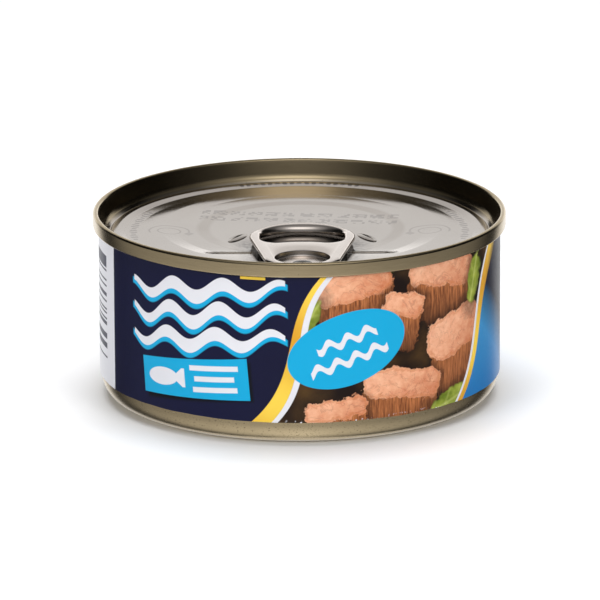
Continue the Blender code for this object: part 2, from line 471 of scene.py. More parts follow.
def end_metal():
    """The end's lacquered steel: pale and glossy inside, warmer and duller round the seam."""
    made, tree, shader, place = start_material("end steel", 0.1, 1.0)
    x, y = split(tree, place)[:2]
    radius = (x.squared() + y.squared()).root()
    cloud = grain(tree, place, 0.07, 2.0)
    fine = grain(tree, place, 1.8, 3.0, 0.6)
    drawn = grain(tree, place, 0.35, 3.0, 0.6, stretch=(1.0, 1.0, 9.0))
    specks = grain(tree, place, 2.2, 2.0).ramp(0.70, 0.76)
    pale = mix(tree, cloud, END_PALE, END_GREY)
    warm = mix(tree, drawn, SEAM_LIGHT, SEAM_DARK)
    outer = radius.ramp(40.2, 40.8)
    tone = mix(tree, outer, pale, warm)
    inner = ((x - DISC_CENTRE[0] / MM).squared() + (y - DISC_CENTRE[1] / MM).squared()).root()
    # Painted reflection: a darker brown ring over the well's step, standing for the wall reflected
    # there
    painted_band = ((inner - WELL_BAND_RADIUS).size() - 1.3).inside(1.0) * (cloud * 0.3 + 0.1)
    tone = mix(tree, painted_band, tone, WELL_BAND_REFLECTION)
    tone = mix(tree, specks * 0.35, tone, SPECK)
    # Painted shadow and dark reflection of the tab on the lid beside it
    tone = mix(tree, tab_painted_shadow(tree, place, x, y), tone, TAB_SHADOW_PAINT)
    tone = mix(tree, lid_print(tree, x, y, radius), tone, INK)
    feed(tree, shader.inputs["Base Color"], tone)
    feed(tree, shader.inputs["Roughness"], fine * 0.05 + outer * 0.1 + 0.07)
    bump(tree, shader, fine * 0.25 + cloud * 1.5 + outer * drawn * 0.6, 0.012)
    return made


def tab_painted_shadow(tree, place, x, y):
    """Painted shadow and dark reflection of the tab, mottled, on the lid close round the tab's sides.
    """
    taper = (y + 10.2).least(0.0) * 0.172
    beside = (x - TAB_X / MM).size() - taper - 10.9
    off_seam = y.ramp(-38.0, -35.0)
    near = beside.ramp(4.4, 0.8) * y.ramp(-1.0, -9.0) * off_seam
    touching = beside.ramp(1.9, 0.7) * y.ramp(-9.0, -14.0) * off_seam
    blotch = grain(tree, place, 1.3, 3.0, 0.6).ramp(0.36, 0.62)
    return (near * (blotch * 0.55 + 0.45) * 0.8).most(touching)


def lid_print(tree, x, y, radius):
    """How much grey ink the end has: ticks, coded dots and arrows."""
    marks = (rim_ticks(x, y, radius) * 0.75).most(coded_dots(tree, x, y) * 0.4)
    return marks.most(curved_arrows(x, y) * 0.3).clamped()


def rim_ticks(x, y, radius):
    """Short strokes near the rim, in an arc at the back and a fainter one at each side."""
    pitch = 2.4
    group = 7.2
    turn = y.apply("ARCTAN2", x) * DEGREES
    side_turn = y.apply("ARCTAN2", x.size()) * DEGREES
    at_back = ((turn - 90.0).size() - 21.0).inside(0.3)
    at_side = ((side_turn - 7.0).size() - 19.0).inside(0.3)
    tick = ((turn / pitch).part() - 0.5).size().apply("LESS_THAN", 0.3)
    tall = ((turn / group).part() - 0.5).size().ramp(0.26, 0.28)
    back_ring = ((radius - 38.0).size() - (tall * 0.25 + 0.4)).inside(0.2) * at_back
    side_ring = ((radius - 35.0).size() - (tall * 0.3 + 0.5)).inside(0.2) * at_side
    return back_ring.most(side_ring * 0.6) * tick


def coded_dots(tree, x, y):
    """Two slanted rows of dots, on or off at random, that mean nothing."""
    across, up = turned(x, y, (0.0, 12.5), -6.0)
    made = node(tree, "ShaderNodeTexWhiteNoise", noise_dimensions="2D")
    cell = joined(tree, (across / 0.62).whole(), (up / 0.75).whole())
    tree.links.new(cell, made.inputs["Vector"])
    dot_on = Term(tree, made.outputs["Value"]).apply("GREATER_THAN", 0.42)
    letters = (across / 3.72).part().apply("LESS_THAN", 0.82)
    rows = ((up.size() - 2.3).size() - 1.5).inside(0.1)
    width = (across.size() - 21.0).inside(0.1)
    return dot_on * letters * rows * width


def curved_arrows(x, y):
    """At each side of the tab, a small ring with a curved arrow over it."""
    beside = x.size() - 27.5
    reach = (beside.squared() + (y - 1.0).squared()).root()
    hook = ((reach - 4.2).size() - 0.22).inside(0.15) * (y + 0.6).ramp(-0.2, 0.2)
    curl = ((reach - 2.4).size() - 0.18).inside(0.15)
    head = ((y + 0.8).size() * 0.8 + (beside + 4.2).size() - 1.1).inside(0.2)
    return hook.most(curl).most(head)


def tab_metal():
    """Bright rolled aluminium with a soft brushed look, dull and darkened by painted shade on the faces
    turned down.
    """
    made, tree, shader, place = start_material("tab metal", 0.22, 1.0)
    cloud = grain(tree, place, 0.25, 2.0)
    lines = grain(tree, place, 1.2, 3.0, 0.6, stretch=(7.0, 0.8, 1.0))
    tone = mix(tree, cloud, TAB_LIGHT, TAB_GREY)
    facing = node(tree, "ShaderNodeNewGeometry")
    # Painted shade: faces turned down are darkened as if in shadow under the rolled edges
    painted_underside_shade = split(tree, facing.outputs["Normal"])[2].ramp(0.05, -0.25)
    tone = mix(tree, painted_underside_shade * 0.93, tone, TAB_PAINTED_SHADE)
    feed(tree, shader.inputs["Base Color"], tone)
    feed(tree, shader.inputs["Roughness"], lines * 0.1 + 0.12)
    bump(tree, shader, lines, 0.008)
    return made


# The label's print. u runs round the wall and v up it, both in mm, with u = 0 at the front.

NAVY = srgb(9, 10, 42)
NAVY_LIGHT = srgb(16, 20, 62)
CYAN = srgb(0, 171, 222)
PAPER = srgb(232, 232, 238)
GOLD = srgb(255, 216, 78)
GOLD_DARK = srgb(226, 164, 40)
DUSK = srgb(40, 28, 10)
PLATE_SHADOW = srgb(6, 8, 20)
DASH = srgb(246, 206, 70)
BAR_INK = srgb(30, 34, 66)
RULE_INK = srgb(110, 114, 140)
BLUE_LOW = srgb(20, 118, 190)
BLUE_HIGH = srgb(72, 160, 214)

# The food picture's colours
SHADE = srgb(26, 12, 8)
GRAVY = srgb(84, 58, 24)
FLESH = srgb(222, 128, 82)
FLESH_PALE = srgb(250, 188, 146)
FLESH_LIT = srgb(255, 208, 176)
FLESH_DULL = srgb(176, 92, 52)
FLESH_CRACK = srgb(178, 90, 54)
FLESH_LIP = srgb(206, 122, 70)
FIBRE_DARK = srgb(92, 44, 20)
FIBRE_LIGHT = srgb(208, 128, 74)
FIBRE_FOOT = srgb(40, 20, 10)
PIECE_SHADOW = srgb(26, 12, 6)
LEAF_DARK = srgb(96, 118, 20)
LEAF_LIGHT = srgb(176, 188, 70)
LEAF_VEIN = srgb(206, 214, 120)
LEAF_RIB = srgb(212, 218, 130)
LEAF_SHADE = srgb(60, 74, 14)
LEAF_SHADOW = srgb(28, 20, 8)

# Places on the label in mm, with leans in degrees. Each of WAVES is a height and a swing, each
# of PLATE_BARS a level and half a length, and each of BADGE_WAVES a level, half a length and a shift.
WAVES_CENTRE = -21.5
WAVES_HALF = 18.5
WAVES = ((21.4, 1.4), (26.7, 1.6), (32.0, 1.4))
PLATE_CENTRE = (-23.8, 12.85)
PLATE_LEAN = 5.0
PLATE_BARS = ((2.3, 5.6), (0.0, 4.6), (-2.3, 5.1))
BADGE_CENTRE = (10.05, 20.5)
BADGE_HALF = (13.06, 7.64)
BADGE_LEAN = 17.9
BADGE_WAVES = ((2.0, 6.6, 0.4), (-2.3, 8.6, -0.3))
BARCODE_EDGE = -49.0
BARCODE_END = -100.0
BARCODE_CENTRE = (-65.0, 21.2)
BARCODE_HALF = (11.2, 11.6)
RULES_CENTRE = (-88.5, 20.5)
RULES_HALF = (8.0, 12.8)
LEFT_STRIPE = {"u": -2.0, "v": 21.5, "lean": 0.20, "curl": 0.0011}
RIGHT_STRIPE = {"u": 44.3, "v": 21.0, "lean": 0.22, "curl": 0.0009}


def stripe_edge(v, stripe):
    """Where an S-curved stripe starts, at each height."""
    rise = v - stripe["v"]
    return rise * (rise.squared() * stripe["curl"] + stripe["lean"]) + stripe["u"]


def label_print(tree, place):
    """The print's colour, and the place on the flat sheet."""
    x, y, v = split(tree, place)
    turn = x.apply("ARCTAN2", y * -1.0)
    u = turn * (LABEL_OUTER / MM)
    sheet = joined(tree, u, v)
    tone = navy_field(tree, sheet)
    tone = wave_bands(tree, tone, u, v)
    tone = name_plate(tree, tone, u, v)
    left = u - stripe_edge(v, LEFT_STRIPE)
    right = u - stripe_edge(v, RIGHT_STRIPE)
    tone = food_picture(tree, tone, sheet, u, v, left.least(right * -1.0))
    tone = side_field(tree, tone, u, v, right)
    tone = stripes(tree, tone, u, v, left, right)
    tone = short_dash(tree, tone, u, v)
    tone = torn_edge(tree, tone, sheet, u, v)
    tone = badge(tree, tone, u, v)
    tone = barcode_panel(tree, tone, u, v)
    return tone, sheet


def navy_field(tree, sheet):
    """The label's ground, a little uneven."""
    return mix(tree, grain(tree, sheet, 0.03, 1.0), NAVY, NAVY_LIGHT)


def wave_bands(tree, tone, u, v):
    """Plain white waves with a cyan edge, across the left of the front."""
    aside = u - WAVES_CENTRE
    for low, swing in WAVES:
        crest = (u * 0.52 + low * 1.1).sine() * swing + u * 0.09 + (low + 2.0)
        ends = aside.size() - WAVES_HALF
        thick = (aside / WAVES_HALF).squared() * -1.2 + 1.9
        shade = ((v - crest + 0.7).size() - thick).most(ends - 0.5)
        tone = mix(tree, shade.inside(0.3), tone, CYAN)
        face = ((v - crest).size() - thick * 0.8).most(ends)
        tone = mix(tree, face.inside(), tone, PAPER)
    return tone


def name_plate(tree, tone, u, v):
    """A cyan plate with a plain fish shape and three bars."""
    across, up = turned(u, v, PLATE_CENTRE, PLATE_LEAN)
    plate = (across.size() - 13.1).most(up.size() - across * 0.026 - 4.15)
    shadow = box_distance(across - 0.8, up + 0.6, (13.0, 4.2))
    tone = mix(tree, shadow.inside(0.6), tone, PLATE_SHADOW)
    tone = mix(tree, plate.inside(), tone, CYAN)
    body = ellipse_distance(across + 7.4, up, (4.0, 1.9))
    spread = up.size() - (across + 4.8) * 0.8
    tail = spread.most((across + 3.2).size() - 1.6).most(up.size() - 2.0)
    fish = body.least(tail)
    tone = mix(tree, fish.inside(), tone, PAPER)
    for level, half in PLATE_BARS:
        bar = box_distance(across - 5.4, up - level, (half, 0.55))
        tone = mix(tree, bar.inside(), tone, PAPER)
    return tone


def food_picture(tree, tone, sheet, u, v, within):
    """A generic dish: flaked pieces with fibrous sides on a dark ground, and leaves."""
    edge = grain(tree, sheet, 0.42, 3.0) * 3.0 + grain(tree, sheet, 1.7, 2.0) * 0.9 - 1.95
    fibre = grain(tree, sheet, 1.0, 3.0, 0.65, stretch=(2.6, 0.22, 1.0), distortion=0.5)
    flake = grain(tree, sheet, 0.55, 5.0, 0.68)
    crack = (grain(tree, sheet, 0.16, 4.0, 0.62, distortion=1.6) - 0.5).size().ramp(0.022, 0.004)
    blur = grain(tree, sheet, 0.12, 1.0)
    flesh = mix(tree, flake.ramp(0.3, 0.7), FLESH, FLESH_PALE)
    looks = {
        "edge": edge,
        "face": mix(tree, crack * 0.5, flesh, FLESH_CRACK),
        "side": mix(tree, fibre.ramp(0.3, 0.7), FIBRE_DARK, FIBRE_LIGHT),
    }
    picture = mix(tree, blur.ramp(0.35, 0.65), SHADE, GRAVY)
    picture = leaves(tree, picture, sheet, u, v, BACK_LEAVES)
    for piece in PIECES:
        picture = fish_piece(tree, picture, u, v, looks, *piece)
    picture = leaves(tree, picture, sheet, u, v, FRONT_LEAVES)
    return mix(tree, (within * -1.0).inside(), tone, picture)


# Where each piece of fish is, half its width and depth, how it leans and how tall its side is
PIECES = (
    ((33.5, 34.2), (9.6, 3.2), -9.0, 8.0),
    ((11.0, 34.0), (8.8, 3.4), 13.0, 7.0),
    ((22.6, 28.6), (5.0, 2.6), -12.0, 7.0),
    ((37.0, 20.6), (8.6, 4.4), 13.0, 14.0),
    ((22.5, 11.8), (9.6, 3.2), -8.0, 9.0),
    ((7.5, 7.6), (6.6, 2.2), 9.0, 5.0),
)


def fish_piece(tree, tone, u, v, looks, centre, half, lean, drop):
    """One piece seen from above and in front: a lit face over a fibrous side."""
    across, up = turned(u, v, centre, lean)
    corner = half[1] * 0.85
    top = box_distance(across, up, half, corner) + looks["edge"]
    side_half = (half[0] * 0.97, half[1] + 0.5 * drop)
    side = box_distance(across, up + 0.5 * drop, side_half, corner) + looks["edge"]
    tone = mix(tree, (side - 0.9).inside(2.4) * 0.8, tone, PIECE_SHADOW)
    low = (up + (half[1] + drop)).ramp(0.9 * drop, 0.0) * 0.75
    wall = mix(tree, low, looks["side"], FIBRE_FOOT)
    tone = mix(tree, side.inside(0.3), tone, wall)
    light = (across * -0.08 + up * 0.12).ramp(-1.0, 1.0)
    face = mix(tree, light * 0.45, looks["face"], FLESH_LIT)
    face = mix(tree, light.ramp(0.6, 0.0) * 0.45, face, FLESH_DULL)
    lip = ((top + 0.45).size() - 0.2).inside(0.5) * 0.6
    face = mix(tree, lip, face, FLESH_LIP)
    return mix(tree, top.inside(0.3), tone, face)


def leaves(tree, tone, sheet, u, v, places):
    """Oval green leaves with a pale midrib."""
    ragged = grain(tree, sheet, 0.5, 3.0) * 2.4 - 1.2
    blotch = grain(tree, sheet, 0.35, 3.0)
    green = mix(tree, blotch.ramp(0.3, 0.7), LEAF_DARK, LEAF_LIGHT)
    for centre, half, lean in places:
        across, up = turned(u, v, centre, lean)
        shape = ellipse_distance(across, up, half) + ragged
        vein = (across * 1.6 + up.size() * -1.4).sine().ramp(0.6, 1.0) * 0.2
        leaf = mix(tree, vein, green, LEAF_VEIN)
        leaf = mix(tree, (up.size() - 0.2).inside(0.5) * 0.5, leaf, LEAF_RIB)
        leaf = mix(tree, up.ramp(0.0, -half[1]) * 0.5, leaf, LEAF_SHADE)
        tone = mix(tree, (shape - 0.9).inside(1.8) * 0.7, tone, LEAF_SHADOW)
        tone = mix(tree, shape.inside(0.5), tone, leaf)
    return tone


BACK_LEAVES = (
    ((31.0, 37.0), (6.0, 2.4), -20.0),
    ((17.0, 37.0), (5.5, 2.2), 24.0),
)
FRONT_LEAVES = (
    ((36.5, 6.2), (7.5, 2.5), 14.0),
    ((43.4, 30.5), (5.4, 2.3), 74.0),
    ((1.8, 27.0), (4.4, 1.9), 58.0),
)


def side_field(tree, tone, u, v, right):
    """Right of the stripe: navy at the top, blue below, then on round the back."""
    drop = (u * 0.8 + v).ramp(68.0, 57.0).most(u.ramp(64.0, 80.0))
    blue = mix(tree, v.ramp(4.0, 26.0), BLUE_LOW, BLUE_HIGH)
    field = mix(tree, drop, NAVY, blue)
    return mix(tree, right.apply("GREATER_THAN", 0.0), tone, field)


def stripes(tree, tone, u, v, left, right):
    """The two gold and white stripes beside the picture."""
    shine = (v * 0.22 + u * 0.1).sine().ramp(-1.0, 1.0)
    gold = mix(tree, shine, GOLD_DARK, GOLD)
    low = (v * -1.0 + 36.0) / 31.0
    gold_width = low.squared() * 2.9 + 1.3
    mask = (left - gold_width * 0.5).size() - gold_width * 0.5
    tone = mix(tree, mask.inside(), tone, gold)
    mask = (left - gold_width - 0.65).size() - 0.65
    tone = mix(tree, mask.inside(), tone, PAPER)
    high = v.ramp(19.0, 36.0)
    gold_width = high.squared() * 3.4 + 1.7
    mask = (right - gold_width * 0.5 - 0.4).size() - gold_width * 0.5
    dusk = mix(tree, (right - 2.0).ramp(0.0, 2.6) * high, gold, DUSK)
    tone = mix(tree, mask.inside(), tone, dusk)
    mask = right.size() - 0.4
    return mix(tree, mask.inside(), tone, PAPER)


def short_dash(tree, tone, u, v):
    """A small yellow dash at the top edge."""
    mask = box_distance(u + 9.75, v - 35.8, (2.65, 0.3))
    return mix(tree, mask.inside(), tone, DASH)


def torn_edge(tree, tone, sheet, u, v):
    """Pale fibres where the paper's bottom edge is torn."""
    fibres = grain(tree, sheet, 1.5, 2.0).ramp(0.6, 0.68)
    low = (v - LABEL_FOOT / MM).ramp(0.7, 0.15) * ((u - 16.0).size() - 20.0).inside(4.0)
    return mix(tree, fibres * low, tone, PAPER)


def badge(tree, tone, u, v):
    """A tilted cyan oval with two rows of plain white waves."""
    across, up = turned(u, v, BADGE_CENTRE, BADGE_LEAN)
    shape = ellipse_distance(across, up, BADGE_HALF)
    tone = mix(tree, shape.inside(), tone, CYAN)
    for level, reach, shift in BADGE_WAVES:
        crest = (across * 1.5 + shift).sine() * 0.8 + level
        wave = ((up - crest).size() - 0.75).most((across - shift).size() - reach)
        tone = mix(tree, wave.inside(), tone, PAPER)
    return tone


def barcode_panel(tree, tone, u, v):
    """A white panel with bars of random widths stacked up it, and thin rules further round."""
    panel = (u - BARCODE_EDGE).most((u - BARCODE_END) * -1.0)
    tone = mix(tree, panel.inside(), tone, PAPER)
    made = node(tree, "ShaderNodeTexWhiteNoise", noise_dimensions="1D")
    feed(tree, made.inputs["W"], (v / 0.42).whole())
    bars = Term(tree, made.outputs["Value"]).apply("GREATER_THAN", 0.5)
    area = box_distance(u - BARCODE_CENTRE[0], v - BARCODE_CENTRE[1], BARCODE_HALF)
    tone = mix(tree, area.inside() * bars, tone, BAR_INK)
    pitch = 3.2
    rules = ((v / pitch).part() - 0.5).size() * pitch - 1.42
    table = box_distance(u - RULES_CENTRE[0], v - RULES_CENTRE[1], RULES_HALF)
    line = (rules * -1.0).inside(0.1) * table.inside()
    return mix(tree, line * 0.6, tone, RULE_INK)


def printed_paper():
    """The label's matt paper, with its print and a slight unevenness."""
    made, tree, shader, place = start_material("label print", 0.3, 0.0)
    shader.inputs["Specular IOR Level"].default_value = 0.25
    tone, sheet = label_print(tree, place)
    fine = grain(tree, sheet, 1.2, 3.0)
    broad = grain(tree, sheet, 0.06, 2.0)
    feed(tree, shader.inputs["Base Color"], tone)
    feed(tree, shader.inputs["Roughness"], fine * 0.12 + 0.28)
    bump(tree, shader, broad * 6.0 + fine * 0.25, 0.03)
    return made


# Pieces

def body_shell(surface):
    """The drawn can with its contents: wall, foot fillet, standing ring and stepped bottom."""
    inner = WALL_RADIUS - SHEET
    wall_top = SEAM_FOOT - 0.35 * MM
    foot = arc((WALL_RADIUS - FOOT_FILLET, FOOT_FILLET), FOOT_FILLET, 0.0, -90.0, 20)
    fill_top = WELL_Z - LID_SHEET - 0.35 * MM
    stand = (35.8 * MM, 0.0)
    ledge = (stand[0] - 1.2 * MM, 0.9 * MM)
    ledge_end = (29.2 * MM, ledge[1])
    bottom = (28.0 * MM, 1.4 * MM)
    profile = [
        (0.0, fill_top),
        (inner, fill_top),
        (inner, wall_top),
        (WALL_RADIUS, wall_top),
        (WALL_RADIUS, 20.0 * MM),
        *foot,
        stand,
        *eased(stand, ledge, 6),
        ledge_end,
        *eased(ledge_end, bottom, 5),
        (16.0 * MM, bottom[1]),
        (0.0, bottom[1]),
    ]
    return lathe("body_shell", profile, surface)


def stepped(radius, chord, run, low, high, crease=0.0):
    """Rings that climb a step ending at radius and chord, with a crease along its front."""
    steps = 14
    sharpness = 7.0
    blend = 0.02
    rings = []
    for i in range(steps + 1):
        t = i / steps
        back = run * (1.0 - t)
        depth = crease * max(0.0, 1.0 - abs(t - 0.5) * sharpness)
        level = low + (high - low) * t
        ring = []
        for x, y, z in cut_ring(radius - back, level, chord - back):
            straight = min(max((-y / (chord - back) - 0.97) / blend, 0.0), 1.0)
            ring.append((x, y, z - depth * straight))
        rings.append(ring)
    return rings


def end_profile():
    """The end's upper face from the panel outwards: sloped rim, groove, chuck wall and seam."""
    points = [(radius * MM, PANEL_Z + rise * MM) for radius, rise in RIM]
    points += arc((40.0 * MM, PANEL_Z + 0.28 * MM), 0.4 * MM, 200.0, 305.0, 7)
    turn_in = (42.33 * MM, HEIGHT - 0.4 * MM)
    wall_foot = (41.5 * MM, 36.6 * MM)
    bend = 2.6 * MM
    lean = math.radians(16.0)
    centre = (wall_foot[0] - bend * math.cos(lean), wall_foot[1] + bend * math.sin(lean))
    points += arc(centre, bend, -50.0, -16.0, 10)
    for share in (0.2, 0.5, 0.8):
        radius = wall_foot[0] + (turn_in[0] - wall_foot[0]) * share
        points.append((radius, wall_foot[1] + (turn_in[1] - wall_foot[1]) * share))
    crown = 0.6 * MM
    curl = 0.35 * MM
    points += arc((SEAM_RADIUS - crown, HEIGHT - crown), crown, 160.0, 0.0, 20)
    points += [(SEAM_RADIUS, SEAM_FOOT + 1.6 * MM)]
    points += arc((SEAM_RADIUS - curl, SEAM_FOOT + curl), curl, 0.0, -90.0, 6)
    return points


def sag(y, z):
    """How far the sunk discs, which lie a little tilted, rise at the back and drop in front."""
    share = min(max((PANEL_Z - z) / (PANEL_Z - DISC_Z), 0.0), 1.0)
    return DISC_TILT * y * share


def end_sheet(surface):
    """The easy-open end, from the inner disc out over the double seam."""
    inside = WALL_RADIUS - SHEET - GAP
    rings = [[(*DISC_CENTRE, WELL_Z)]]
    rings += [circle_ring(radius * MM, WELL_Z, DISC_CENTRE) for radius in (3.0, 7.0, 11.0)]
    rings += stepped(WELL_RADIUS, WELL_CHORD, WELL_RUN, WELL_Z, DISC_Z)
    rings += stepped(DISC_RADIUS, DISC_CHORD, DISC_RUN, DISC_Z, PANEL_Z, DISC_CREASE)
    rings = [[(x, y, z + sag(y, z)) for x, y, z in ring] for ring in rings]
    profile = end_profile()
    # Back inside the seam, then under the groove and the rim
    profile += [
        (inside, SEAM_FOOT),
        (inside, BAND_Z + 0.4 * MM),
        (41.1 * MM, BAND_Z - 0.3 * MM),
        (40.4 * MM, BAND_Z - 0.95 * MM),
        (39.7 * MM, BAND_Z - 0.95 * MM),
        (39.3 * MM, BAND_Z - 0.5 * MM),
        (38.0 * MM, BAND_Z - 0.6 * MM),
        (36.5 * MM, PANEL_Z - LID_SHEET),
    ]
    rings += [circle_ring(radius, z) for radius, z in profile]
    low_disc = DISC_Z - LID_SHEET
    low_well = WELL_Z - LID_SHEET
    rings += [
        cut_ring(DISC_RADIUS, PANEL_Z - LID_SHEET, DISC_CHORD),
        cut_ring(DISC_RADIUS - DISC_RUN, low_disc, DISC_CHORD - DISC_RUN),
        cut_ring(WELL_RADIUS, low_disc, WELL_CHORD),
        cut_ring(WELL_RADIUS - WELL_RUN, low_well, WELL_CHORD - WELL_RUN),
        [(*DISC_CENTRE, low_well)],
    ]
    return skin("end_sheet", rings, surface)


def rivet_button(surface):
    """The rivet that the end's own sheet forms, domed with a small dimple."""
    centre = (TAB_X, RIVET_Y)
    foot = TAB_FOOT + LID_SHEET + 0.25 * MM
    post = 1.4 * MM
    post_foot = PANEL_Z - 0.15 * MM
    profile = [(0.0, foot + 0.2 * MM), (0.6 * MM, foot + 0.21 * MM), (1.0 * MM, foot + 0.3 * MM)]
    profile += arc((1.95 * MM, foot + 0.1 * MM), 0.22 * MM, 90.0, 0.0, 6)
    profile += [(2.1 * MM, foot), (post, foot), (post, post_foot), (0.0, post_foot)]
    return lathe("rivet_button", profile, surface, 48, centre)


def support_point(half, centre_y, turn, power=2.0):
    """The point of a superellipse whose outward normal has this angle."""
    dual = power / (power - 1.0)
    wide = half[0] * math.cos(turn)
    deep = half[1] * math.sin(turn)
    length = (abs(wide) ** dual + abs(deep) ** dual) ** (1.0 / power)
    x = math.copysign(half[0] * abs(wide) ** (dual - 1.0) / length, wide)
    y = math.copysign(half[1] * abs(deep) ** (dual - 1.0) / length, deep)
    return (x, centre_y + y)


def tab_outline(inset):
    """The hull of the ring end and the nose, drawn in by inset along its normals."""
    ring = []
    for i in range(TAB_SIDES):
        turn = 2.0 * math.pi * (i + 0.5) / TAB_SIDES
        normal = (math.cos(turn), math.sin(turn))
        choices = (
            support_point(RING_HALF, RING_CENTRE_Y, turn, RING_POWER),
            support_point(NOSE_HALF, NOSE_CENTRE_Y, turn),
        )
        best = max(choices, key=lambda point: point[0] * normal[0] + point[1] * normal[1])
        ring.append((TAB_X + best[0] - inset * normal[0], best[1] - inset * normal[1]))
    return ring


def hole_outline(outset):
    """The finger hole grown by outset: round behind, squarer in front, where it bows in."""
    ring = []
    for i in range(TAB_SIDES):
        turn = 2.0 * math.pi * (i + 0.5) / TAB_SIDES
        reach, squareness = HOLE_BACK if math.sin(turn) > 0.0 else HOLE_FRONT
        power = 2.0 / squareness
        x = (HOLE_HALF_WIDTH + outset) * math.copysign(abs(math.cos(turn)) ** power, math.cos(turn))
        y = (reach + outset) * math.copysign(abs(math.sin(turn)) ** power, math.sin(turn))
        if y < 0.0:
            y += HOLE_BOW * max(0.0, 1.0 - (abs(x) / HOLE_BOW_HALF) ** 3) ** 2
        ring.append((TAB_X + x, HOLE_CENTRE_Y + y))
    return ring


def bar_share(y):
    """How much of the back bar's section there is at y, from 0 to 1."""
    share = (y - BAR_START) / (BAR_FULL - BAR_START)
    return ease(min(max(share, 0.0), 1.0))


def tab_section(edge, opposite, angle):
    """The tab's rolled edge at one angle of its section, between that edge and the opposite one."""
    roll = 0.5 * (TAB_TOP - TAB_FOOT)
    rise = math.sin(math.radians(angle))
    reach = 1.0 - math.cos(math.radians(angle))
    part = BAR_ROUND_TOP if rise > 0.0 else BAR_ROUND_FOOT
    height = BAR_TOP - BAR_EDGE if rise > 0.0 else BAR_EDGE - BAR_FOOT
    ring = []
    for slim, here, there in zip(edge(roll * reach), edge(0.0), opposite(0.0)):
        share = bar_share(slim[1])
        across = part * reach
        full = (here[0] + (there[0] - here[0]) * across, here[1] + (there[1] - here[1]) * across)
        x = slim[0] + (full[0] - slim[0]) * share
        y = slim[1] + (full[1] - slim[1]) * share
        low = TAB_TOP - roll + roll * rise
        high = BAR_EDGE + height * rise
        ring.append((x, y, low + (high - low) * share))
    return ring


def tab_ellipse(half, centre_y, z, count=96):
    """A ring about a point on the tab's middle line."""
    turns = [2.0 * math.pi * (i + 0.5) / count for i in range(count)]
    return [(TAB_X + half[0] * math.cos(t), centre_y + half[1] * math.sin(t), z) for t in turns]


def pocket_tool():
    """What the pocket takes out: a rounded floor edge, a drafted wall and a flared mouth."""
    floor = TAB_FOOT + LID_SHEET
    levels = (
        (TAB_TOP + MM, 0.25),
        (TAB_TOP + 0.05 * MM, 0.25),
        (TAB_TOP - 0.02 * MM, 0.14),
        (TAB_TOP - 0.08 * MM, 0.04),
        (TAB_TOP - 0.2 * MM, 0.0),
        (floor + 0.3 * MM, -0.08),
        (floor + 0.12 * MM, -0.16),
        (floor + 0.03 * MM, -0.3),
        (floor, -0.5),
    )
    rings = [[(TAB_X, POCKET_CENTRE_Y, levels[0][0])]]
    for z, grow in levels:
        half = (POCKET_HALF[0] + grow * MM, POCKET_HALF[1] + grow * MM)
        rings.append(tab_ellipse(half, POCKET_CENTRE_Y, z))
    rings.append([(TAB_X, POCKET_CENTRE_Y, floor)])
    return skin("pocket", rings)


def post_tool():
    """What the rivet's post takes out of the tab."""
    half = (POST_RADIUS, POST_RADIUS)
    low = TAB_FOOT - MM
    high = TAB_FOOT + LID_SHEET + MM
    centre = (TAB_X, RIVET_Y)
    rings = [tab_ellipse(half, RIVET_Y, z, 40) for z in (high, low)]
    return skin("post_hole", [[(*centre, high)], *rings, [(*centre, low)]])


def ring_pull(surface):
    """The tab: rolled edges all round, a half-round back bar, and a pocket round the rivet."""
    angles = [90.0 - 10.0 * step for step in range(19)]
    rings = [tab_section(tab_outline, hole_outline, angle) for angle in angles]
    rings += [tab_section(hole_outline, tab_outline, angle) for angle in reversed(angles)]
    tab = skin("ring_pull", rings, surface, closed=True)
    carve(tab, pocket_tool())
    carve(tab, post_tool())
    smooth(tab, 40.0)
    return tab


def carve(thing, tool):
    """Cuts a tool out of a piece for good."""
    cut = thing.modifiers.new("cut", "BOOLEAN")
    cut.operation = "DIFFERENCE"
    cut.object = tool
    graph = bpy.context.evaluated_depsgraph_get()
    carved = bpy.data.meshes.new_from_object(thing.evaluated_get(graph))
    thing.modifiers.clear()
    thing.data = carved
    bpy.data.objects.remove(tool, do_unlink=True)


def label_shell(surface):
    """The paper, slightly uneven, with one end lapped over the other at the back."""
    paper = 0.13 * MM
    most_ripple = 0.03 * MM
    most_wander = 0.1 * MM
    lap_rise = 0.06 * MM
    lap_start = math.radians(90.0)
    lap_width = math.radians(9.0)
    rows = 14

    def sheet_ring(radius, z):
        ring = []
        for i in range(SIDES):
            turn = 2.0 * math.pi * i / SIDES
            x = math.cos(turn)
            y = math.sin(turn)
            ripple = most_ripple * noise.noise(Vector((x * 3.0, y * 3.0, z * 60.0)))
            past = (turn - lap_start) % (2.0 * math.pi)
            lap = lap_rise if past < lap_width else 0.0
            wander = most_wander * noise.noise(Vector((x * 9.0, y * 9.0, 5.0)))
            reach = radius + ripple + lap - (most_ripple + lap_rise)
            ring.append((reach * x, reach * y, z + wander))
        return ring

    rise = (LABEL_TOP - LABEL_FOOT) / rows
    heights = [LABEL_TOP - rise * i for i in range(rows + 1)]
    outer = [sheet_ring(LABEL_OUTER, z) for z in heights]
    inner = [sheet_ring(LABEL_OUTER - paper, z) for z in reversed(heights)]
    return skin("label_shell", outer + inner, surface, closed=True, angle=60.0)


def slit_tool(half, low, high):
    """A lens-shaped prism, pointed at both ends."""
    rings = []
    for z in (high, low):
        ring = []
        for i in range(48):
            turn = 2.0 * math.pi * i / 48
            width = half[1] * math.copysign(abs(math.sin(turn)) ** 1.6, math.sin(turn))
            ring.append((half[0] * math.cos(turn), width, z))
        rings.append(ring)
    return skin("slit", [[(0.0, 0.0, high)], *rings, [(0.0, 0.0, low)]])


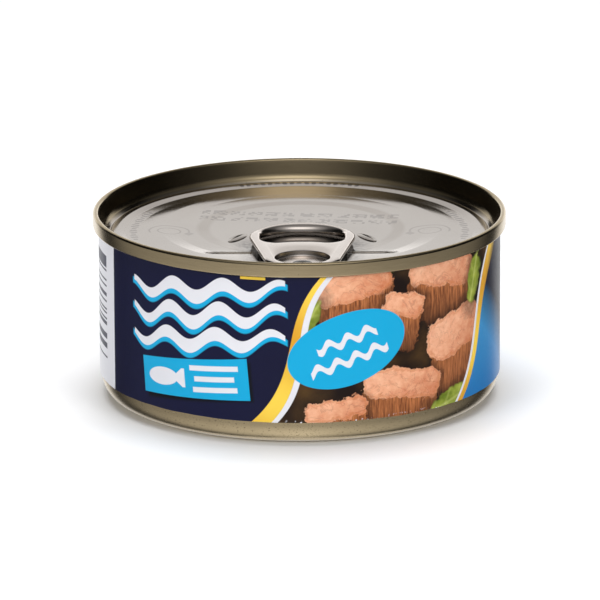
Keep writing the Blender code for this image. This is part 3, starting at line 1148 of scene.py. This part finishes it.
def lock_ridge(name, side, surface):
    """The small pressed ridge beside the tab, lanced open along its crest."""
    form = bmesh.new()
    bmesh.ops.create_icosphere(form, subdivisions=5, radius=1.0)
    mesh = bpy.data.meshes.new(name)
    form.to_mesh(mesh)
    form.free()
    ridge = add_object(name, mesh, surface)
    turn = Matrix.Rotation(-side * math.radians(RIDGE_TURN), 4, "Z")
    x = TAB_X + side * RIDGE_PLACE[0]
    spot = Matrix.Translation((x, RIDGE_PLACE[1], WELL_Z + 0.02 * MM))
    mesh.transform(Matrix.Diagonal((*RIDGE_HALF, 1.0)))
    tool = slit_tool(SLIT_HALF, -0.1 * MM, MM)
    tool.data.transform(Matrix.Translation((0.0, SLIT_BACK, 0.0)))
    carve(ridge, tool)
    ridge.data.transform(spot @ turn)
    smooth(ridge, 50.0)
    return ridge


def dress():
    """Makes each piece, rides it on the root body and hides the CAD part that it replaces. Each entry
    also lists a finish, which nothing here uses.
    """
    steel = tinplate()
    end_steel = end_metal()
    pieces = (
        (body_shell(steel), "can_body", "tinplate"),
        (end_sheet(end_steel), "lid", "lacquered_end"),
        (rivet_button(end_steel), "lid", "lacquered_end"),
        (lock_ridge("ridge_left", -1, end_steel), "lid", "lacquered_end"),
        (lock_ridge("ridge_right", 1, end_steel), "lid", "lacquered_end"),
        (ring_pull(tab_metal()), "pull_tab", "tab_metal"),
        (label_shell(printed_paper()), "label", "printed_paper"),
    )
    for piece, replaced, finish in pieces:
        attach(piece, "root")
        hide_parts(replaced)


# Stage, light and camera

def floor():
    """A wide white floor, which the metal doesn't show."""
    mesh = bpy.data.meshes.new("floor")
    reach = 12.0
    ways = ((-1.0, -1.0), (1.0, -1.0), (1.0, 1.0), (-1.0, 1.0))
    corners = [(reach * x, reach * y, 0.0) for x, y in ways]
    mesh.from_pydata(corners, [], [(0, 1, 2, 3)])
    made, tree, shader, place = start_material("floor", 0.6, 0.0)
    cloud = grain(tree, place, 0.01, 2.0)
    tone = mix(tree, cloud, srgb(250, 250, 250), srgb(246, 246, 247))
    feed(tree, shader.inputs["Base Color"], tone)
    ground = add_object("floor", mesh, made)
    ground.visible_glossy = False


def softbox(name, place, aim, size, power):
    """A soft light that the metal doesn't show. The world gives the metal its reflections."""
    lamp = bpy.data.lights.new(name, "AREA")
    lamp.shape = "RECTANGLE"
    lamp.size, lamp.size_y = size
    lamp.energy = power
    thing = bpy.data.objects.new(name, lamp)
    bpy.context.scene.collection.objects.link(thing)
    thing.location = place
    way = Vector(aim) - Vector(place)
    thing.rotation_euler = way.to_track_quat("-Z", "Y").to_euler()
    thing.visible_glossy = False


def light_steps(tree, term, low, high, stops):
    """A light level for each value of a term, straight between the stops."""
    made = node(tree, "ShaderNodeValToRGB")
    feed(tree, made.inputs[0], term.ramp(low, high))
    points = made.color_ramp.elements
    while len(points) < len(stops):
        points.new(0.5)
    for point, (at, level) in zip(points, stops):
        point.position = (at - low) / (high - low)
        point.color = (level, level, level, 1.0)
    return Term(tree, made.outputs[0])


# Light that the metal reflects: from the backdrop, by the z of the direction it comes from
BACKDROP = (
    (-0.03, 0.03),
    (-0.01, 1.5),
    (0.13, 1.3),
    (0.2, 0.86),
    (0.36, 0.84),
    (0.46, 0.66),
    (0.7, 0.62),
    (0.79, 0.05),
)
# From the camera side, by degrees round
CAMERA_SIDE = (
    (0.0, 0.17),
    (12.0, 0.155),
    (22.0, 0.13),
    (34.0, 0.085),
    (46.0, 0.045),
    (66.0, 0.018),
    (90.0, 0.0),
)
# From below the horizon, by degrees round from the camera side
GROUND = (
    (0.0, 0.6),
    (22.0, 0.56),
    (45.0, 0.46),
    (92.0, 0.34),
    (110.0, 0.26),
    (130.0, 0.04),
    (148.0, 0.04),
    (156.0, 0.5),
)
# From the lamp in front and above, by the cosine of the angle from its middle
LAMP = (
    (0.78, 0.0),
    (0.82, 0.06),
    (0.88, 0.14),
    (0.93, 0.2),
    (0.965, 0.5),
    (0.985, 1.05),
    (1.0, 1.25),
)
LAMP_WAY = Vector((0.05, -0.5, 0.866))


def light_above(tree, x, y, z, turn):
    """Light from above the horizon: the backdrop, the camera side, the ceiling and the lamp."""
    light = light_steps(tree, z, -0.05, 1.0, BACKDROP) * turn.ramp(140.0, 152.0)
    light = light + light_steps(tree, turn, 0.0, 180.0, CAMERA_SIDE) * z.ramp(0.75, 0.6)
    light = light + z.ramp(0.78, 0.95) * 0.07 + z.ramp(0.5, 0.75) * 0.08 + 0.006
    aside = (x - LAMP_WAY.x).squared() * 0.6
    facing = (aside + (y - LAMP_WAY.y).squared() + (z - LAMP_WAY.z).squared()) * -0.5 + 1.0
    return light + light_steps(tree, facing, 0.7, 1.0, LAMP)


def light_below(tree, x, z, turn):
    """Light from below the horizon, stronger low down and with a bright band at the back."""
    light = light_steps(tree, turn, 0.0, 180.0, GROUND) * (z.ramp(-0.3, -0.9) * 0.85 + 1.0)
    light = light * (x * -0.14 + 1.0)
    return light + turn.ramp(140.0, 150.0) * z.ramp(-0.5, -0.32) * 0.75


def studio():
    """Lamps for the paper and the floor, and a world of light panels for the metal to reflect."""
    softbox("overhead", place=(0.0, 0.12, 1.1), aim=(0.0, 0.0, 0.0), size=(0.9, 0.7), power=11.0)
    for name, side in (("fill_left", -0.9), ("fill_right", 0.9)):
        softbox(name, place=(side, -1.1, 0.75), aim=(0.0, 0.0, 0.02), size=(0.6, 0.6), power=7.4)
    world = bpy.data.worlds.new("studio")
    bpy.context.scene.world = world
    world.use_nodes = True
    tree = world.node_tree
    place = node(tree, "ShaderNodeTexCoord")
    x, y, z = split(tree, place.outputs["Generated"])
    turn = x.size().apply("ARCTAN2", y * -1.0) * DEGREES
    above = light_above(tree, x, y, z, turn)
    below = light_below(tree, x, z, turn)
    upper = z.ramp(-0.04, -0.01)
    light = above * upper + below * (upper * -1.0 + 1.0)
    shade = node(tree, "ShaderNodeCombineColor")
    for place_in in shade.inputs[:3]:
        feed(tree, place_in, light)
    tree.links.new(shade.outputs[0], tree.nodes["Background"].inputs["Color"])


def camera():
    """The photograph's camera: low, far off and turned a little."""
    lens = bpy.data.cameras.new("camera")
    lens.sensor_width = 36.0
    lens.lens = FOCAL_PIXELS * lens.sensor_width / PHOTO_SIDE
    lens.clip_start = 0.05
    lens.clip_end = 60.0
    view = bpy.data.objects.new("camera", lens)
    bpy.context.scene.collection.objects.link(view)
    rise = math.radians(CAMERA_ELEVATION)
    place = AIM + CAMERA_DISTANCE * Vector((0.0, -math.cos(rise), math.sin(rise)))
    tilt = Matrix.Rotation(math.radians(90.0 - CAMERA_ELEVATION), 4, "X")
    roll = Matrix.Rotation(math.radians(CAMERA_ROLL), 4, "Z")
    view.matrix_world = Matrix.Translation(place) @ tilt @ roll
    bpy.context.scene.camera = view


bpy.context.scene.view_settings.view_transform = "Standard"
camera()
dress()
floor()
studio()
